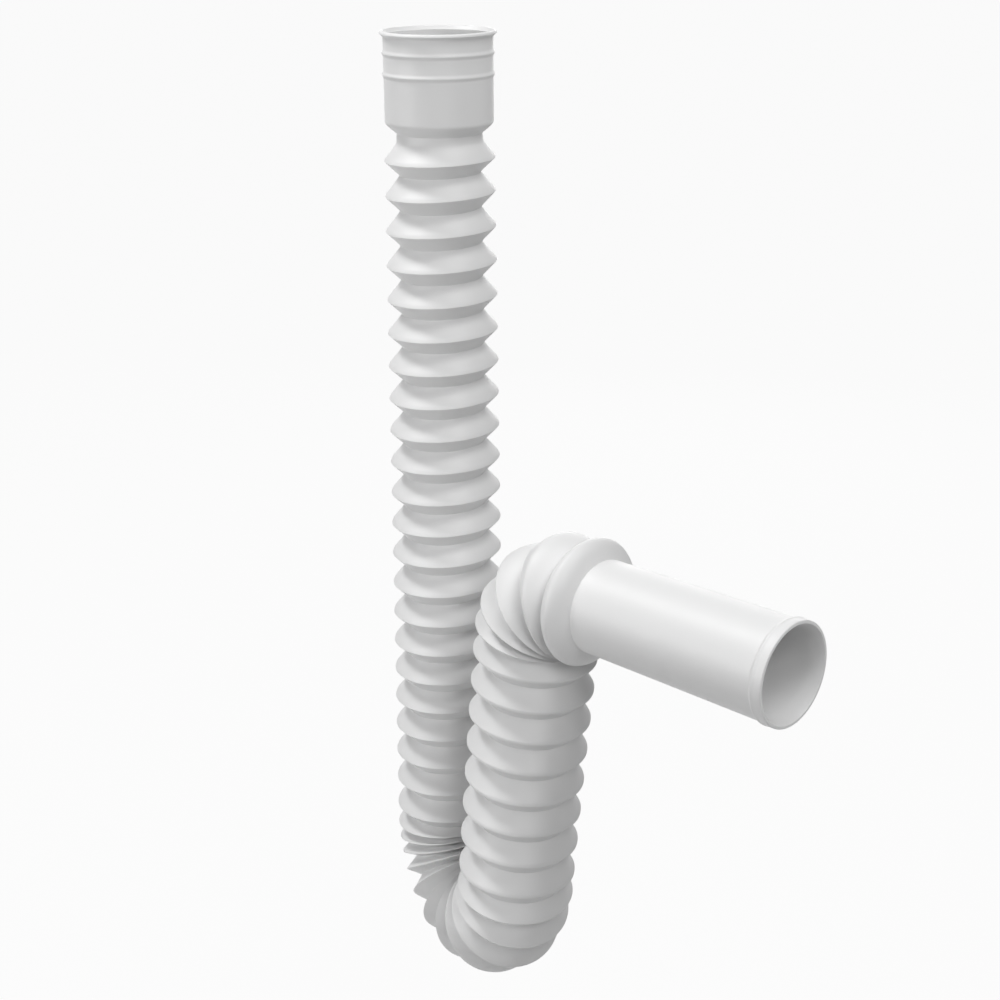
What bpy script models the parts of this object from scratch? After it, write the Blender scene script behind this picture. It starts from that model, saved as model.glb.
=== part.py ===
"""Flexible sink trap: an inlet socket, a bellows hose and an outlet spigot, blow-moulded as one hollow piece.

The mouth of the socket is at the origin and opens upwards. The hose hangs from it, turns up again
in a tight U, and the spigot leaves along +X.
"""

import math

import bmesh
import bpy
from mathutils import Quaternion, Vector

MM = 0.001

# Wall
WALL = 1.2 * MM
SIDES = 22

# Inlet socket: depths are measured down from its mouth
SOCKET_RADIUS = 22.2 * MM
SOCKET_DEPTH = 37.2 * MM
LIP_HEIGHT = 2.6 * MM
LIP_RISE = 1.5 * MM
LIP_BEVEL = 1.1 * MM
BEAD_DEPTHS = (8.6 * MM, 17.0 * MM)
BEAD_WIDTH = 3.4 * MM
BEAD_RISE = 0.7 * MM
SHOULDER_HEIGHT = 4.2 * MM
NECK_LENGTH = 1.0 * MM
NECK_DEPTH = 5.2 * MM

# Bellows: V-shaped folds with a narrow rounded crest
CREST_RADIUS = 22.9 * MM
CREST_GROWTH = 0.0061
CREST_FLAT = 2.2 * MM
CREST_SHARE = 0.55
DOWN_FOLDS = 22
DOWN_PITCH = 14.57 * MM
DOWN_PITCH_SHRINK = 0.05 * MM
DOWN_FOLD_DEPTH = 6.2 * MM
RING_TILT = math.radians(2.9)
RING_TILT_HEADING = math.radians(225)

# U-bend: the folds open wide at the bottom, where their roots are pulled outwards
LEG_GAP = 13.0 * MM
TRAP_HEADING = math.radians(-17.4)
U_FOLDS = 11
U_DROP = 6.0 * MM
U_STRETCH = 0.41
U_WIDEST = 0.64
U_FOLD_DEPTH = 6.0 * MM
U_ROOT_PULL = 4.5 * MM

# Riser
RISER_LEAN = math.radians(6.9)
RISER_SIDE_LEAN = math.radians(-1.4)
RISER_FOLDS = 8
RISER_PITCH = 16.4 * MM
RISER_PITCH_SHRINK = 0.43 * MM
RISER_FOLD_DEPTH = 5.6 * MM
RISER_ROOT_PULL = 2.5 * MM

# Top bend
TOP_INNER_GAP = 1.4 * MM
TOP_FOLDS = 4
TOP_CROWDING = 1.38
TOP_ROOT_PULL = 3.0 * MM

# Outlet spigot and the round collar before it
SPIGOT_RADIUS = 20.0 * MM
SPIGOT_TAPER = 0.8 * MM
SPIGOT_WALL = 1.8 * MM
SPIGOT_LENGTH = 90.7 * MM
SPIGOT_BEAD_RISE = 0.6 * MM
SPIGOT_BEAD_WIDTH = 2.4 * MM
SPIGOT_BEAD_SETBACK = 5.0 * MM
SPIGOT_EDGE = 0.5 * MM
COLLAR_WIDTH = 3.5 * MM
COLLAR_SHOULDER = 5.2 * MM

UP = Vector((0, 0, 1))
OUT = Vector((1, 0, 0))

NECK_RADIUS = CREST_RADIUS - NECK_DEPTH
FOLD_WALL = WALL * math.hypot(DOWN_PITCH / 2, DOWN_FOLD_DEPTH) / (DOWN_PITCH / 2)


def straight(start, heading, length):
    """A straight stretch of the centre line, as a function of the share travelled."""
    def place(share):
        return start + heading * (length * share), heading
    return place


def bend(start, heading, axis, turn, radius, reach):
    """A bend of the centre line, round or drawn out to a reach along its first heading."""
    inward = axis.cross(heading)
    centre = start + inward * radius

    def place(share):
        angle = turn * share
        spot = centre - inward * (radius * math.cos(angle)) + heading * (reach * math.sin(angle))
        ahead = inward * (radius * math.sin(angle)) + heading * (reach * math.cos(angle))
        return spot, ahead.normalized()
    return place


class Tube:
    """Rings down the outside and the inside of the tube, in the order they are passed."""

    def __init__(self):
        self.outside = []
        self.inside = []
        self.normal = -UP
        self.across = OUT.copy()
        self.travelled = 0.0
        self.centre = Vector((0, 0, 0))

    def section(self, centre, normal, outer=None, inner=None, pull=None):
        """Turn the section to its new normal and add a ring to the outside, the inside or both."""
        self.across.rotate(self.normal.rotation_difference(normal))
        self.normal = normal.normalized()
        self.travelled += (centre - self.centre).length
        self.centre = centre.copy()
        for rings, radius in ((self.outside, outer), (self.inside, inner)):
            if radius is not None:
                rings.append(self.ring(radius, pull or Vector()))

    def ring(self, radius, pull):
        beside = self.normal.cross(self.across)
        spokes = [math.tau * side / SIDES for side in range(SIDES)]
        return [self.centre + pull + radius * (math.cos(spoke) * self.across + math.sin(spoke) * beside)
                for spoke in spokes]

    def crest(self):
        return CREST_RADIUS + CREST_GROWTH * self.travelled

    def folds(self, place, shares, depth, tilt=None, pull=None, peak=0.5):
        """Add folds along a stretch of centre line, each from its root over its crest."""
        for start, end in zip(shares, shares[1:]):
            middle = start + (end - start) * peak
            flat = (end - start) * CREST_FLAT / DOWN_PITCH / 2
            for share, level in ((start, 0), (middle - flat, 1), (middle, None), (middle + flat, 1)):
                centre, heading = place(share)
                if tilt:
                    heading = (heading + tilt(share)).normalized()
                crest = self.crest()
                if level == 0:
                    root = crest - depth(share)
                    self.section(centre, heading, root, root - FOLD_WALL, pull and pull(share))
                elif level == 1:
                    self.section(centre, heading, outer=crest)
                else:
                    self.section(centre, heading, inner=crest - FOLD_WALL)

    def build(self, name, material):
        """Skin the rings from the mouth to the end and back inside, as one closed body."""
        mesh = bmesh.new()
        rings = [[mesh.verts.new(point) for point in ring] for ring in self.outside + self.inside[::-1]]
        for ring, following in zip(rings, rings[1:] + rings[:1]):
            for side in range(SIDES):
                beside = (side + 1) % SIDES
                mesh.faces.new((ring[side], ring[beside], following[beside], following[side]))
        bmesh.ops.recalc_face_normals(mesh, faces=mesh.faces)
        data = bpy.data.meshes.new(name)
        mesh.to_mesh(data)
        mesh.free()
        data.materials.append(material)
        data.shade_smooth()
        data.set_sharp_from_angle(angle=math.radians(30))
        part = bpy.data.objects.new(name, data)
        bpy.context.scene.collection.objects.link(part)
        return part


def white_plastic():
    material = bpy.data.materials.new("white_polypropylene")
    material.use_nodes = True
    shader = material.node_tree.nodes["Principled BSDF"]
    shader.inputs["Base Color"].default_value = (0.88, 0.88, 0.87, 1)
    shader.inputs["Roughness"].default_value = 0.38
    shader.inputs["Metallic"].default_value = 0.0
    return material


def inlet_socket(tube):
    """The push-fit socket with its lip and two beads, down to the neck."""
    def at(depth, outer=None, inner=None):
        tube.section(-UP * depth, -UP, outer, inner)

    at(0, SOCKET_RADIUS + LIP_RISE - LIP_BEVEL, SOCKET_RADIUS - WALL)
    at(LIP_BEVEL, SOCKET_RADIUS + LIP_RISE)
    at(LIP_HEIGHT, SOCKET_RADIUS)
    for depth in BEAD_DEPTHS:
        at(depth - BEAD_WIDTH / 2, SOCKET_RADIUS)
        at(depth - BEAD_WIDTH / 8, SOCKET_RADIUS + BEAD_RISE)
        at(depth + BEAD_WIDTH / 8, SOCKET_RADIUS + BEAD_RISE)
        at(depth + BEAD_WIDTH / 2, SOCKET_RADIUS)
    at(SOCKET_DEPTH, SOCKET_RADIUS, SOCKET_RADIUS - WALL)
    drop = SOCKET_RADIUS - NECK_RADIUS
    at(SOCKET_DEPTH + SHOULDER_HEIGHT * 0.3, SOCKET_RADIUS - drop * 0.12)
    at(SOCKET_DEPTH + SHOULDER_HEIGHT, NECK_RADIUS, NECK_RADIUS - WALL)
    return -UP * (SOCKET_DEPTH + SHOULDER_HEIGHT + NECK_LENGTH)


def down_leg(tube, start):
    pitches = [DOWN_PITCH - DOWN_PITCH_SHRINK * fold for fold in range(DOWN_FOLDS)]
    length = sum(pitches)
    shares = [sum(pitches[:fold]) / length for fold in range(DOWN_FOLDS + 1)]
    lean = Vector((math.cos(RING_TILT_HEADING), math.sin(RING_TILT_HEADING), 0)) * math.tan(RING_TILT)
    place = straight(start, -UP, length)

    def depth(share):
        return DOWN_FOLD_DEPTH if share else NECK_DEPTH

    tube.folds(place, shares, depth, lambda share: -lean * min(1, 0.4 + share * 10), peak=CREST_SHARE)
    return place(1)[0], lean


def stretched_roots(folds, stretch, widest):
    """Shares of a bend at which its roots lie, pulled furthest apart at the share called widest."""
    shift = widest - 0.5
    even = [fold / folds for fold in range(folds + 1)]
    return [share - stretch * (math.sin(math.tau * (share - shift)) + math.sin(math.tau * shift)) / math.tau
            for share in even]


def ease(share):
    """Smooth step from 0 to 1, flat outside that range."""
    share = min(1, max(0, share))
    return share * share * (3 - 2 * share)


def u_bend(tube, start, lean):
    forward = Vector((math.cos(TRAP_HEADING), math.sin(TRAP_HEADING), 0))
    axis = (-UP).cross(forward)
    turn = math.pi - RISER_LEAN
    radius = tube.crest() + LEG_GAP / 2
    place = bend(start, -UP, axis, turn, radius, radius + U_DROP)

    def pull(share):
        outward = Quaternion(axis, turn * share) @ -forward
        slack = (U_ROOT_PULL - RISER_ROOT_PULL) * ease((share - 0.7) / 0.3)
        return outward * (U_ROOT_PULL * ease((share - 0.08) / 0.42) - slack)

    def depth(share):
        end_depth = DOWN_FOLD_DEPTH if share < 0.5 else RISER_FOLD_DEPTH
        return U_FOLD_DEPTH + (end_depth - U_FOLD_DEPTH) * abs(math.cos(math.pi * share))

    roots = stretched_roots(U_FOLDS, U_STRETCH, U_WIDEST)
    tube.folds(place, roots, depth, lambda share: -lean * max(0, 1 - share * 4), pull)
    foot, heading = place(1)
    return foot, Quaternion(forward, RISER_SIDE_LEAN) @ heading, pull(1).normalized()


def riser(tube, start, heading, outward):
    pitches = [RISER_PITCH - RISER_PITCH_SHRINK * fold for fold in range(RISER_FOLDS)]
    length = sum(pitches)
    shares = [sum(pitches[:fold]) / length for fold in range(RISER_FOLDS + 1)]
    place = straight(start, heading, length)

    def pull(share):
        return outward * (RISER_ROOT_PULL * (1 - share))

    tube.folds(place, shares, lambda share: RISER_FOLD_DEPTH, pull=pull)
    return place(1)[0]


def top_bend(tube, start, heading):
    axis = heading.cross(OUT).normalized()
    turn = heading.angle(OUT)
    radius = tube.crest() + TOP_INNER_GAP
    place = bend(start, heading, axis, turn, radius, radius)

    def pull(share):
        outward = Quaternion(axis, turn * share) @ heading.cross(axis)
        return outward * (TOP_ROOT_PULL * math.sin(math.pi * share))

    roots = [(fold / TOP_FOLDS) ** TOP_CROWDING for fold in range(TOP_FOLDS + 1)]
    tube.folds(place, roots, lambda share: RISER_FOLD_DEPTH, pull=pull)
    return place(1)[0]


def outlet_spigot(tube, root):
    """The round collar behind the last fold and the plain spigot with its bead."""
    def at(distance, outer=None, inner=None):
        tube.section(root + OUT * distance, OUT, outer, inner)

    crest = tube.crest()
    at(0, crest - RISER_FOLD_DEPTH, crest - RISER_FOLD_DEPTH - FOLD_WALL)
    at(COLLAR_WIDTH * 0.5, crest - RISER_FOLD_DEPTH * 0.2)
    at(COLLAR_WIDTH, crest, crest - WALL * 1.5)
    throat = SPIGOT_RADIUS - SPIGOT_TAPER
    for degrees in (35, 65):
        angle = math.radians(degrees)
        at(COLLAR_WIDTH + COLLAR_SHOULDER * math.sin(angle), throat + (crest - throat) * math.cos(angle))
    start = COLLAR_WIDTH + COLLAR_SHOULDER
    at(start, throat, throat - SPIGOT_WALL)
    bead = start + SPIGOT_LENGTH - SPIGOT_BEAD_SETBACK
    at(bead - SPIGOT_BEAD_WIDTH / 2, SPIGOT_RADIUS)
    at(bead - SPIGOT_BEAD_WIDTH / 5, SPIGOT_RADIUS + SPIGOT_BEAD_RISE)
    at(bead + SPIGOT_BEAD_WIDTH / 5, SPIGOT_RADIUS + SPIGOT_BEAD_RISE)
    at(bead + SPIGOT_BEAD_WIDTH / 2, SPIGOT_RADIUS)
    end = start + SPIGOT_LENGTH
    at(end - SPIGOT_EDGE, SPIGOT_RADIUS)
    at(end, SPIGOT_RADIUS - SPIGOT_EDGE, SPIGOT_RADIUS - SPIGOT_WALL)


def make_tube():
    tube = Tube()
    neck = inlet_socket(tube)
    foot, lean = down_leg(tube, neck)
    riser_foot, heading, outward = u_bend(tube, foot, lean)
    riser_top = riser(tube, riser_foot, heading, outward)
    root = top_bend(tube, riser_top, heading)
    outlet_spigot(tube, root)
    return tube


def make_trap():
    return make_tube().build("trap_hose", white_plastic())


for old in list(bpy.data.objects):
    bpy.data.objects.remove(old, do_unlink=True)

make_trap()
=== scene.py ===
"""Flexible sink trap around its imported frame: one white blow-moulded hose from socket to spigot."""

import math

import bpy
import numpy as np
from mathutils import Euler, Matrix, Quaternion, Vector


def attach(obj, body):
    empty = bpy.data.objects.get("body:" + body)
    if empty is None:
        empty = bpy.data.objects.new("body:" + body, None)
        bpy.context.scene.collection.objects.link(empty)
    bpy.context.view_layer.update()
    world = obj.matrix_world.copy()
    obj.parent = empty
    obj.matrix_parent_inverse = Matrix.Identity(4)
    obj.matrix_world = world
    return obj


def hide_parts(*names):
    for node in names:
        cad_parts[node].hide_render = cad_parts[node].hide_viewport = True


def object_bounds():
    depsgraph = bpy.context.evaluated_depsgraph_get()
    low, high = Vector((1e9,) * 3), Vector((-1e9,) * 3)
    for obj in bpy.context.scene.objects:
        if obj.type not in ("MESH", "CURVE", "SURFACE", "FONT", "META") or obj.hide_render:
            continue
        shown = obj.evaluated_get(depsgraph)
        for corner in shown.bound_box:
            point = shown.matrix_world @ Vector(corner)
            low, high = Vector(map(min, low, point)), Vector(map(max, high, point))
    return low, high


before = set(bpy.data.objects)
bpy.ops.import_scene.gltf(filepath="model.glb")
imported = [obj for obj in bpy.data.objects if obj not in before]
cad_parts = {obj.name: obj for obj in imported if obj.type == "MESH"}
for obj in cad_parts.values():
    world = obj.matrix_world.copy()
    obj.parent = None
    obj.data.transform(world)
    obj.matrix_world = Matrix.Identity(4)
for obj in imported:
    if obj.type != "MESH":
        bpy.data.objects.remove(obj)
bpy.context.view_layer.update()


# Moulded wall.
# The trap is one hollow wall of polypropylene, blown into a corrugated mould. Its rings are passed
# from the mouth of the socket to the end of the spigot, outside and inside, and skinned as one mesh.

MM = 0.001
WALL = 1.2 * MM
SPOKES = 88
PULL_FOCUS = 1.5
SHARP_ANGLE = math.radians(32)
UP = Vector((0, 0, 1))
OUT = Vector((1, 0, 0))


class MouldedWall:
    """The wall's rings, passed one after another along the hose's centre line."""

    def __init__(self):
        self.outside = []
        self.inside = []
        self.normal = -UP
        self.across = OUT.copy()
        self.centre = Vector((0, 0, 0))
        self.travelled = 0.0

    def pass_section(self, centre, normal, outer=None, inner=None, pull=None, press=None):
        """Turn the section to its new normal and leave a ring on the outside, the inside or both."""
        self.across.rotate(self.normal.rotation_difference(normal))
        self.normal = normal.normalized()
        self.travelled += (centre - self.centre).length
        self.centre = centre.copy()
        angles = np.linspace(0, math.tau, SPOKES, endpoint=False)[:, None]
        spokes = np.cos(angles) * self.across + np.sin(angles) * self.normal.cross(self.across)
        middle = np.array(centre)
        if pull is not None:
            facing = np.clip(spokes @ np.array(pull.normalized()), 0, 1)[:, None]
            middle = middle + facing ** PULL_FOCUS * np.array(pull)
        for rings, radius in ((self.outside, outer), (self.inside, inner)):
            if radius is not None:
                ring = middle + radius * spokes
                rings.append(press(ring, centre) if press else ring)

    def skin(self, name):
        """Join the outside's rings, and the inside's back again, into one closed mesh."""
        points = np.concatenate(self.outside + self.inside[::-1])
        rings = len(points) // SPOKES
        here = np.arange(SPOKES)
        beside = (here + 1) % SPOKES
        quads = []
        for ring in range(rings):
            start, following = ring * SPOKES, (ring + 1) % rings * SPOKES
            corners = [start + here, following + here, following + beside, start + beside]
            quads.append(np.stack(corners, 1))
        mesh = bpy.data.meshes.new(name)
        mesh.from_pydata(points.tolist(), [], np.concatenate(quads).tolist())
        mesh.validate()
        mesh.shade_smooth()
        mesh.set_sharp_from_angle(angle=SHARP_ANGLE)
        hose = bpy.data.objects.new(name, mesh)
        bpy.context.scene.collection.objects.link(hose)
        return hose


wall = MouldedWall()


# Inlet socket.
# A straight sleeve that takes the tail of the sink's waste. Its mouth flares to a bevelled lip, two
# moulded beads stiffen it, and a rounded shoulder draws it in to the neck above the first fold.

SOCKET_RADIUS = 22.2 * MM
LIP_RISE = 1.5 * MM
LIP_BEVEL = 1.1 * MM
LIP_HEIGHT = 2.6 * MM
LIP_HOLLOW = 1.4
LIP_STEPS = 8
MOUTH_FLARE = 1.4 * MM
MOUTH_DEPTH = 1.5 * MM
MOUTH_CURVE = 0.8
MOUTH_SHARES = (0.5, 0.9, 1.0, 1.2)
BEAD_DEPTHS = (8.6 * MM, 17.0 * MM)
BEAD_WIDTH = 3.4 * MM
BEAD_RISE = 0.6 * MM
BEAD_STEPS = 12
BEAD_SPREAD = 0.25
CORNER_STEPS = 6
SHOULDER_DEPTH = 34.9 * MM
SHOULDER_HEIGHT = 5.6 * MM
SHOULDER_START = 0.25
SHOULDER_ROUND = 0.12
SHOULDER_BELLY = 0.5
SHOULDER_STEPS = 14
NECK_LENGTH = 3.0 * MM
NECK_RADIUS = 17.5 * MM


def socket_ring(depth, outer, lined=False):
    wall.pass_section(-UP * depth, -UP, outer, outer - WALL if lined else None)


def rounded_corner(steps):
    """How far along and how far up each ring of a quarter round lies, as shares of its size."""
    for step in range(1, steps + 1):
        angle = math.pi / 2 * step / steps
        yield 1 - math.cos(angle), math.sin(angle)


def bead_swell(rise):
    """Places across a bead, as shares of its width from its middle, with the height at each."""
    for step in range(-BEAD_STEPS // 2, BEAD_STEPS // 2 + 1):
        share = step / BEAD_STEPS
        yield share, rise * math.exp(-(share / BEAD_SPREAD) ** 2)


def knee(share, start, round_off):
    """A ramp from 0 to 1 that begins at a rounded knee."""
    def rise(at):
        return at - start + math.hypot(at - start, round_off)
    return (rise(share) - rise(0)) / (rise(1) - rise(0))


lip_radius = SOCKET_RADIUS + LIP_RISE
wall.pass_section(Vector(), -UP, lip_radius - LIP_BEVEL, SOCKET_RADIUS + MOUTH_FLARE - WALL)
for along, up in rounded_corner(CORNER_STEPS):
    socket_ring(LIP_BEVEL * along, lip_radius - LIP_BEVEL * (1 - up))
for step in range(1, LIP_STEPS + 1):
    share = step / LIP_STEPS
    depth = LIP_BEVEL + (LIP_HEIGHT - LIP_BEVEL) * share
    socket_ring(depth, SOCKET_RADIUS + LIP_RISE * (1 - share) ** LIP_HOLLOW)
for share in MOUTH_SHARES:
    flare = MOUTH_FLARE * max(0, 1 - share) ** MOUTH_CURVE
    wall.pass_section(-UP * MOUTH_DEPTH * share, -UP, inner=SOCKET_RADIUS + flare - WALL)
for bead_depth in BEAD_DEPTHS:
    for place, swell in bead_swell(BEAD_RISE):
        socket_ring(bead_depth + BEAD_WIDTH * place, SOCKET_RADIUS + swell)
socket_ring(SHOULDER_DEPTH, SOCKET_RADIUS, lined=True)
for step in range(1, SHOULDER_STEPS + 1):
    share = step / SHOULDER_STEPS
    fall = knee(share, SHOULDER_START, SHOULDER_ROUND) * (1 - SHOULDER_BELLY * (1 - share) ** 2)
    radius = SOCKET_RADIUS - (SOCKET_RADIUS - NECK_RADIUS) * fall
    socket_ring(SHOULDER_DEPTH + SHOULDER_HEIGHT * share, radius, lined=step % 2 == 0)


# Bellows.
# Folds, blown in one with the rest of the wall, that let the hose be pulled long or bent by hand.
# Each has a rounded crest and a filleted root, and each stretch of the hose holds its folds at its
# own pitch, depth and lean.

CREST_RADIUS = 22.6 * MM
CREST_GROWTH = 0.0061
STRETCHED_ROUNDING = (0.13, 0.07)
FOLD_STEPS = 16
FOLD_LINING_STEPS = 4
FOLD_WALL = 1.3 * WALL


def crest_radius():
    """The crests grow a little from the socket to the spigot."""
    return CREST_RADIUS + CREST_GROWTH * wall.travelled


def soften(rise, round_off):
    """A slope that levels out below 0 over a rounded corner."""
    return (rise + math.hypot(rise, round_off)) / 2


def ridge(share, peak, rounding):
    """Height along a fold, near 0 at its roots and 1 at its crest, rounded at both."""
    root_round, crest_round = rounding
    slant = share / peak if share < peak else (1 - share) / (1 - peak)
    return soften(slant, root_round) - soften(slant - 1, crest_round)


def lay_folds(line, roots, depth, peaks, tilt=None, pull=None, press=None,
              rounding=STRETCHED_ROUNDING):
    """Pass the sections of every fold along a stretch of the centre line."""
    low, high = ridge(0, 0.5, rounding), ridge(0.5, 0.5, rounding)
    for start, end in zip(roots, roots[1:]):
        peak = peaks[0] + (peaks[1] - peaks[0]) * start
        for step in range(FOLD_STEPS):
            fold_share = step / FOLD_STEPS
            share = start + (end - start) * fold_share
            centre, heading = line(share)
            if tilt:
                heading = (heading + tilt(share)).normalized()
            height = (ridge(fold_share, peak, rounding) - low) / (high - low)
            outer = crest_radius() - depth(share) * (1 - height)
            inner = None if step % FOLD_LINING_STEPS else outer - FOLD_WALL
            shift = pull(share) * (1 - height) if pull else None
            wall.pass_section(centre, heading, outer, inner, shift, press)


def straight(start, heading, length):
    def line(share):
        return start + heading * (length * share), heading
    return line


def bend(start, heading, axis, turn, radius, reach):
    """A turn about an axis, stretched along its first heading where the reach passes the radius."""
    inward = axis.cross(heading)
    centre = start + inward * radius

    def line(share):
        angle = turn * share
        spot = centre - inward * (radius * math.cos(angle)) + heading * (reach * math.sin(angle))
        ahead = inward * (radius * math.sin(angle)) + heading * (reach * math.cos(angle))
        return spot, ahead.normalized()
    return line


# Down leg.
# The long straight run under the sink. Its folds are pulled widest at the top, where the hose
# hangs, and its rings lean a little to one side.

DOWN_FOLDS = 22
DOWN_PITCH = 14.57 * MM
DOWN_PITCH_SHRINK = 0.05 * MM
FIRST_FOLD_SHORTER = 1.1 * MM
DOWN_FOLD_DEPTH = 6.2 * MM
DOWN_PEAK = 0.55
NECK_DEPTH = 5.2 * MM
RING_TILT = math.radians(2.9)
RING_TILT_HEADING = math.radians(225)
TILT_AT_NECK = 0.4
TILT_GAIN = 10

down_pitches = [DOWN_PITCH - DOWN_PITCH_SHRINK * fold for fold in range(DOWN_FOLDS)]
down_pitches[0] -= FIRST_FOLD_SHORTER
down_length = sum(down_pitches)
down_roots = [sum(down_pitches[:fold]) / down_length for fold in range(DOWN_FOLDS + 1)]
lean = Vector((math.cos(RING_TILT_HEADING), math.sin(RING_TILT_HEADING), 0)) * math.tan(RING_TILT)
neck = -UP * (SHOULDER_DEPTH + SHOULDER_HEIGHT + NECK_LENGTH)
down_leg = straight(neck, -UP, down_length)


def down_depth(share):
    """Full depth, but shallower over the first half fold, which grows out of the neck."""
    return DOWN_FOLD_DEPTH - (DOWN_FOLD_DEPTH - NECK_DEPTH) * max(0, 1 - share * 2 * DOWN_FOLDS)


lay_folds(down_leg, down_roots, down_depth, (DOWN_PEAK, DOWN_PEAK),
          tilt=lambda share: -lean * min(1, TILT_AT_NECK + share * TILT_GAIN))


# U-bend.
# The water seal. The folds open wide around the bottom, where the roots are pulled outwards, and
# close up on the inside of the turn.

LEG_GAP = 13.4 * MM
TRAP_HEADING = math.radians(-17.7)
U_FOLDS = 11
U_DROP = 5.0 * MM
U_STRETCH = 0.43
U_WIDEST = 0.633
U_FOLD_DEPTH = 6.0 * MM
U_ROOT_PULL = 3.2 * MM
U_PULL_GROWS = (0.08, 0.5)
U_PULL_SLACKENS = (0.5, 0.8)
TILT_FADE = 4
RISER_LEAN = math.radians(4.7)
RISER_SIDE_LEAN = math.radians(-2.3)
RISER_FOLD_DEPTH = 5.6 * MM
RISER_PEAK = 0.4
RISER_ROOT_PULL = 0.8 * MM

forward = Vector((math.cos(TRAP_HEADING), math.sin(TRAP_HEADING), 0))
u_axis = (-UP).cross(forward)
u_turn = math.pi - RISER_LEAN
u_radius = crest_radius() + LEG_GAP / 2
u_bend = bend(down_leg(1)[0], -UP, u_axis, u_turn, u_radius, u_radius + U_DROP)


def stretched_roots(folds, stretch, widest):
    """Shares of a bend at which its roots lie, pulled furthest apart at the share called widest."""
    shift = math.tau * (widest - 0.5)
    even = [fold / folds for fold in range(folds + 1)]
    return [share - stretch * (math.sin(math.tau * share - shift) + math.sin(shift)) / math.tau
            for share in even]


def ease(at, start, end):
    """0 up to the start, 1 from the end on, and a smooth rise between them."""
    share = min(1, max(0, (at - start) / (end - start)))
    return share * share * (3 - 2 * share)


def u_depth(share):
    end_depth = DOWN_FOLD_DEPTH if share < 0.5 else RISER_FOLD_DEPTH
    return U_FOLD_DEPTH + (end_depth - U_FOLD_DEPTH) * abs(math.cos(math.pi * share))


def u_pull(share):
    """Outwards from the turn, growing to the bottom and slackening towards the riser."""
    slack = (U_ROOT_PULL - RISER_ROOT_PULL) * ease(share, *U_PULL_SLACKENS)
    outward = Quaternion(u_axis, u_turn * share) @ -forward
    return outward * (U_ROOT_PULL * ease(share, *U_PULL_GROWS) - slack)


lay_folds(u_bend, stretched_roots(U_FOLDS, U_STRETCH, U_WIDEST), u_depth, (DOWN_PEAK, RISER_PEAK),
          tilt=lambda share: -lean * max(0, 1 - share * TILT_FADE), pull=u_pull)


# Riser.
# The short run back up. It leans away from the down leg, curves a little further over as it rises,
# and its folds close up towards the top.

RISER_FOLDS = 8
RISER_PITCH = 15.47 * MM
RISER_PITCH_SHRINK = 0.16 * MM
RISER_CURVE = math.radians(1.8)

riser_pitches = [RISER_PITCH - RISER_PITCH_SHRINK * fold for fold in range(RISER_FOLDS)]
riser_length = sum(riser_pitches)
riser_roots = [sum(riser_pitches[:fold]) / riser_length for fold in range(RISER_FOLDS + 1)]
riser_foot, riser_heading = u_bend(1)
riser_heading = Quaternion(forward, RISER_SIDE_LEAN) @ riser_heading
riser_side = (forward - riser_heading * forward.dot(riser_heading)).normalized()
riser_slack = u_pull(1).normalized() * RISER_ROOT_PULL


def riser(share):
    """A line that starts straight up the riser and turns evenly towards its outer side."""
    angle = RISER_CURVE * share
    reach = riser_length / RISER_CURVE
    spot = riser_foot + reach * (riser_heading * math.sin(angle) + riser_side * (1 - math.cos(angle)))
    return spot, riser_heading * math.cos(angle) + riser_side * math.sin(angle)


lay_folds(riser, riser_roots, lambda share: RISER_FOLD_DEPTH, (RISER_PEAK, RISER_PEAK),
          pull=lambda share: riser_slack * (1 - share))


# Top bend.
# The hose turns level for the wall. Its folds crowd together where the turn begins, bulge round on
# the outside, and lie pressed against each other on the inside.

TOP_INNER_GAP = -2.95 * MM
TOP_RISE = 1.45 * MM
TOP_ROOTS = (0, 0.147, 0.358, 0.676, 1)
TOP_ROOT_PULL = 3.0 * MM
TOP_PEAK = 0.5
CROWDED_ROUNDING = (0.04, 0.45)
PLEAT_GAP = 0.3 * MM
PLEAT_SOFTNESS = 1.6 * MM

top_foot, top_heading = riser(1)
top_axis = top_heading.cross(OUT).normalized()
top_turn = top_heading.angle(OUT)
top_radius = crest_radius() + TOP_INNER_GAP
top_bend = bend(top_foot, top_heading, top_axis, top_turn, top_radius, top_radius + TOP_RISE)
top_pivot = top_foot + top_axis.cross(top_heading) * top_radius


def top_pull(share):
    outward = Quaternion(top_axis, top_turn * share) @ top_heading.cross(top_axis)
    return outward * (TOP_ROOT_PULL * math.sin(math.pi * share))


def press_pleats(ring, centre):
    """Hold back softly the points of a ring that would pass the pivot of the turn."""
    outward = np.array((centre - top_pivot).normalized())
    room = (ring - np.array(top_pivot)) @ outward
    held = PLEAT_GAP + (room - PLEAT_GAP + np.hypot(room - PLEAT_GAP, PLEAT_SOFTNESS)) / 2
    return ring + np.outer(held - room, outward)


lay_folds(top_bend, TOP_ROOTS, lambda share: RISER_FOLD_DEPTH, (RISER_PEAK, TOP_PEAK),
          pull=top_pull, press=press_pleats, rounding=CROWDED_ROUNDING)


# Collar and outlet spigot.
# Behind the last fold a round collar draws in to the plain tube that goes into the waste pipe, all
# of the same moulding. A small bead marks the tube's end, which is slightly wider past it.

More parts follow.
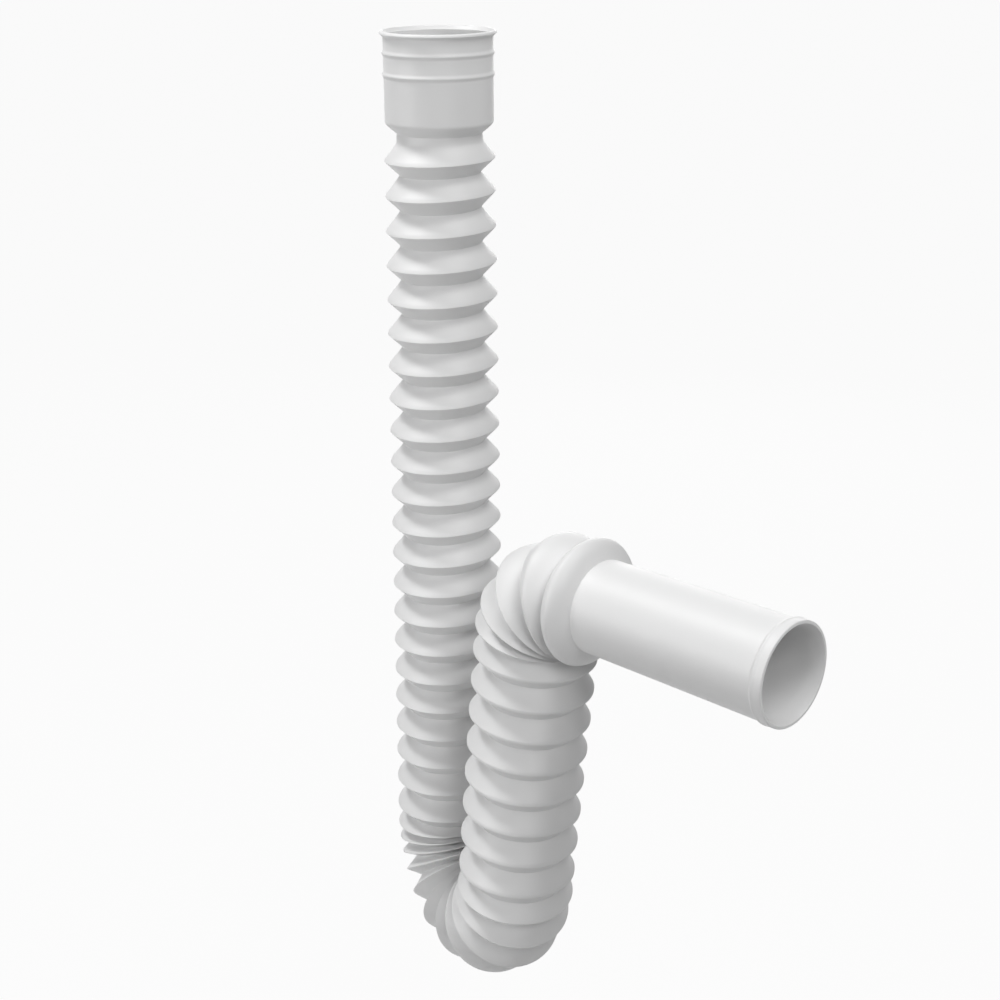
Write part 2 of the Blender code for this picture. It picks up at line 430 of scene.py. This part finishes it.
COLLAR_WIDTH = 5.2 * MM
COLLAR_SHOULDER = 6.5 * MM
COLLAR_SLOPE = 0.15
COLLAR_STEPS = 14
SPIGOT_RADIUS = 20.0 * MM
SPIGOT_TAPER = 0.8 * MM
SPIGOT_WALL = 1.8 * MM
SPIGOT_LENGTH = 91.6 * MM
SPIGOT_LEAD = 1.0 * MM
SPIGOT_BEAD_RISE = 0.35 * MM
SPIGOT_BEAD_WIDTH = 3.0 * MM
SPIGOT_BEAD_SETBACK = 4.6 * MM
SPIGOT_MOUTH_RISE = 0.6 * MM
SPIGOT_MOUTH_WIDENS = (-1 / 3, 1 / 4)
SPIGOT_EDGE = 0.4 * MM
SPIGOT_EDGE_STEPS = 4
SPIGOT_RIM = 1.2 * MM
CHAMFER_DEPTH = 2.2 * MM

collar_root = top_bend(1)[0]
collar_crest = crest_radius()
root_radius = collar_crest - RISER_FOLD_DEPTH
throat = SPIGOT_RADIUS - SPIGOT_TAPER
tube_start = COLLAR_WIDTH + COLLAR_SHOULDER
tube_end = tube_start + SPIGOT_LENGTH
bead_middle = tube_end - SPIGOT_BEAD_SETBACK
mouth = SPIGOT_RADIUS + SPIGOT_MOUTH_RISE


def spigot_ring(distance, outer, inner=None):
    wall.pass_section(collar_root + OUT * distance, OUT, outer, inner)


spigot_ring(0, root_radius, root_radius - WALL)
for along, up in rounded_corner(CORNER_STEPS):
    spigot_ring(COLLAR_WIDTH * along, root_radius + RISER_FOLD_DEPTH * up, root_radius - WALL)
for step in range(1, COLLAR_STEPS + 1):
    share = step / COLLAR_STEPS
    fall = COLLAR_SLOPE * share + (1 - COLLAR_SLOPE) * share ** 2
    spigot_ring(COLLAR_WIDTH + COLLAR_SHOULDER * share, collar_crest - (collar_crest - throat) * fall)
spigot_ring(tube_start + SPIGOT_LEAD, throat, throat - SPIGOT_WALL)
spigot_ring(bead_middle - SPIGOT_BEAD_WIDTH, SPIGOT_RADIUS, SPIGOT_RADIUS - SPIGOT_WALL)
for place, swell in bead_swell(SPIGOT_BEAD_RISE):
    widening = SPIGOT_MOUTH_RISE * ease(place, *SPIGOT_MOUTH_WIDENS)
    spigot_ring(bead_middle + SPIGOT_BEAD_WIDTH * place, SPIGOT_RADIUS + swell + widening)
spigot_ring(tube_end - CHAMFER_DEPTH, mouth, SPIGOT_RADIUS - SPIGOT_WALL)
spigot_ring(tube_end - SPIGOT_EDGE, mouth)
for inset, up in rounded_corner(SPIGOT_EDGE_STEPS):
    spigot_ring(tube_end - SPIGOT_EDGE * (1 - up), mouth - SPIGOT_EDGE * inset)
spigot_ring(tube_end, mouth - SPIGOT_RIM)

hose = wall.skin("moulded_hose")
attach(hose, "root")
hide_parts("trap_hose")


# White polypropylene.
# Bright white plastic with the soft sheen that the blow mould leaves: a faint orange peel and a
# slightly uneven gloss.

PLASTIC_WHITE = (0.80, 0.80, 0.80, 1)
ROUGHNESS = 0.42
ROUGHNESS_SPREAD = 0.12
PEEL_SCALE = 900.0
WAVE_SCALE = 60.0
PEEL_SHARE = 0.7
RELIEF_STRENGTH = 0.06
RELIEF_HEIGHT = 0.3 * MM


class Socket:
    """A shader socket whose maths is written as expressions."""

    def __init__(self, tree, link=None):
        self.tree = tree
        self.link = link

    def node(self, kind, settings, sockets, output=0):
        """Add a node, with its settings made first and its sockets then filled or linked."""
        node = self.tree.nodes.new(kind)
        for name, value in settings.items():
            setattr(node, name, value)
        for name, value in sockets.items():
            if isinstance(value, Socket):
                self.tree.links.new(value.link, node.inputs[name])
            else:
                node.inputs[name].default_value = value
        return Socket(self.tree, node.outputs[output])

    def __add__(self, other):
        return self.node("ShaderNodeMath", {"operation": "ADD"}, {0: self, 1: other})

    __radd__ = __add__

    def __mul__(self, other):
        return self.node("ShaderNodeMath", {"operation": "MULTIPLY"}, {0: self, 1: other})

    __rmul__ = __mul__


plastic = bpy.data.materials.new("white_polypropylene")
plastic.use_nodes = True
shader = plastic.node_tree.nodes["Principled BSDF"]
surface = Socket(plastic.node_tree).node("ShaderNodeTexCoord", {}, {}, "Object")
peel = surface.node("ShaderNodeTexNoise", {}, {"Vector": surface, "Scale": PEEL_SCALE, "Detail": 2.0})
waves = surface.node("ShaderNodeTexNoise", {}, {"Vector": surface, "Scale": WAVE_SCALE, "Detail": 3.0})
gloss = ROUGHNESS + ROUGHNESS_SPREAD * waves
relief = PEEL_SHARE * peel + (1 - PEEL_SHARE) * waves
bump = surface.node("ShaderNodeBump", {}, {"Height": relief, "Strength": RELIEF_STRENGTH,
                                           "Distance": RELIEF_HEIGHT}, "Normal")
plastic.node_tree.links.new(gloss.link, shader.inputs["Roughness"])
plastic.node_tree.links.new(bump.link, shader.inputs["Normal"])
shader.inputs["Base Color"].default_value = PLASTIC_WHITE
hose.data.materials.append(plastic)


# Studio.
# A pale floor well below the hanging trap, a white surround, and soft lamps above it, to its left,
# in front and behind, seen from the height and the distance of the photograph.

FLOOR_DROP = 0.08
FLOOR_SIZE = 60
FLOOR_GREY = (0.5, 0.5, 0.5, 1)
FLOOR_ROUGHNESS = 0.9
FLOOR_GLOW = 0.95
SURROUND_LIGHT = 0.04
WHITE = (1, 1, 1, 1)
CAMERA_HEADING = 0.7742
CAMERA_PITCH = 0.3427
CAMERA_ROLL = 0.0069
CAMERA_SPOT = (23.55 * MM, -731.06 * MM, 61.22 * MM)
LENS = 63.9
SENSOR = 36
LAMP_AIM = (0.03, 0, -0.2)
LAMP_DISTANCE = 1.2


def seen_behind(tree):
    """1 for the rays that show the background itself, 0 for those that only light the trap."""
    camera, glossy, clear = (Socket(tree).node("ShaderNodeLightPath", {}, {}, f"Is {kind} Ray")
                             for kind in ("Camera", "Glossy", "Transmission"))
    return camera + glossy + clear


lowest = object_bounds()[0][2]
bpy.ops.mesh.primitive_plane_add(size=FLOOR_SIZE, location=(0, 0, lowest - FLOOR_DROP))
floor = bpy.context.object
floor.name = "pale_floor"
paint = bpy.data.materials.new("pale_floor")
paint.use_nodes = True
tree = paint.node_tree
matte = tree.nodes["Principled BSDF"]
matte.inputs["Base Color"].default_value = FLOOR_GREY
matte.inputs["Roughness"].default_value = FLOOR_ROUGHNESS
seen = seen_behind(tree)
glow = seen.node("ShaderNodeEmission", {}, {"Color": WHITE, "Strength": 1.0})
mixed = seen.node("ShaderNodeMixShader", {},
                  {0: seen * FLOOR_GLOW, 1: Socket(tree, matte.outputs[0]), 2: glow})
tree.links.new(mixed.link, tree.nodes["Material Output"].inputs["Surface"])
floor.data.materials.append(paint)

surround = bpy.data.worlds.new("studio_surround")
surround.use_nodes = True
bpy.context.scene.world = surround
tree = surround.node_tree
seen = seen_behind(tree)
white = seen.node("ShaderNodeBackground", {}, {"Color": WHITE, "Strength": 1.0})
soft = seen.node("ShaderNodeBackground", {}, {"Color": WHITE, "Strength": SURROUND_LIGHT})
both = seen.node("ShaderNodeMixShader", {}, {0: seen, 1: soft, 2: white})
tree.links.new(both.link, tree.nodes["World Output"].inputs["Surface"])

bpy.context.scene.view_settings.view_transform = "Standard"

to_row = Matrix.Rotation(CAMERA_HEADING, 4, "Z")
camera_data = bpy.data.cameras.new("camera")
camera_data.lens = LENS
camera_data.sensor_width = SENSOR
camera = bpy.data.objects.new("camera", camera_data)
bpy.context.scene.collection.objects.link(camera)
bpy.context.scene.camera = camera
pitched = Euler((math.pi / 2 - CAMERA_PITCH, 0, 0)).to_matrix().to_4x4()
rolled = Matrix.Rotation(-CAMERA_ROLL, 4, "Z")
camera.matrix_world = to_row @ Matrix.Translation(CAMERA_SPOT) @ pitched @ rolled


def soft_lamp(name, turn, height, power, size):
    """A square lamp aimed at the trap, turned and raised by degrees from the camera's side of it."""
    turn, height = math.radians(turn), math.radians(height)
    level = math.cos(height)
    away = to_row @ Vector((math.sin(turn) * level, -math.cos(turn) * level, math.sin(height)))
    data = bpy.data.lights.new(name, "AREA")
    data.shape = "SQUARE"
    data.size = size
    data.energy = power
    lamp = bpy.data.objects.new(name, data)
    bpy.context.scene.collection.objects.link(lamp)
    spot = Matrix.Translation(to_row @ Vector(LAMP_AIM) + LAMP_DISTANCE * away)
    lamp.matrix_world = spot @ away.to_track_quat("Z", "Y").to_matrix().to_4x4()


soft_lamp("upper_left_lamp", -100, 60, 6.4, 0.3)
soft_lamp("upper_right_lamp", 48, 60, 4.5, 0.45)
soft_lamp("left_lamp", -65, 8, 4.2, 0.3)
soft_lamp("front_lamp", 20, 32, 4.0, 0.5)
soft_lamp("back_lamp", 170, 12, 2.6, 0.6)
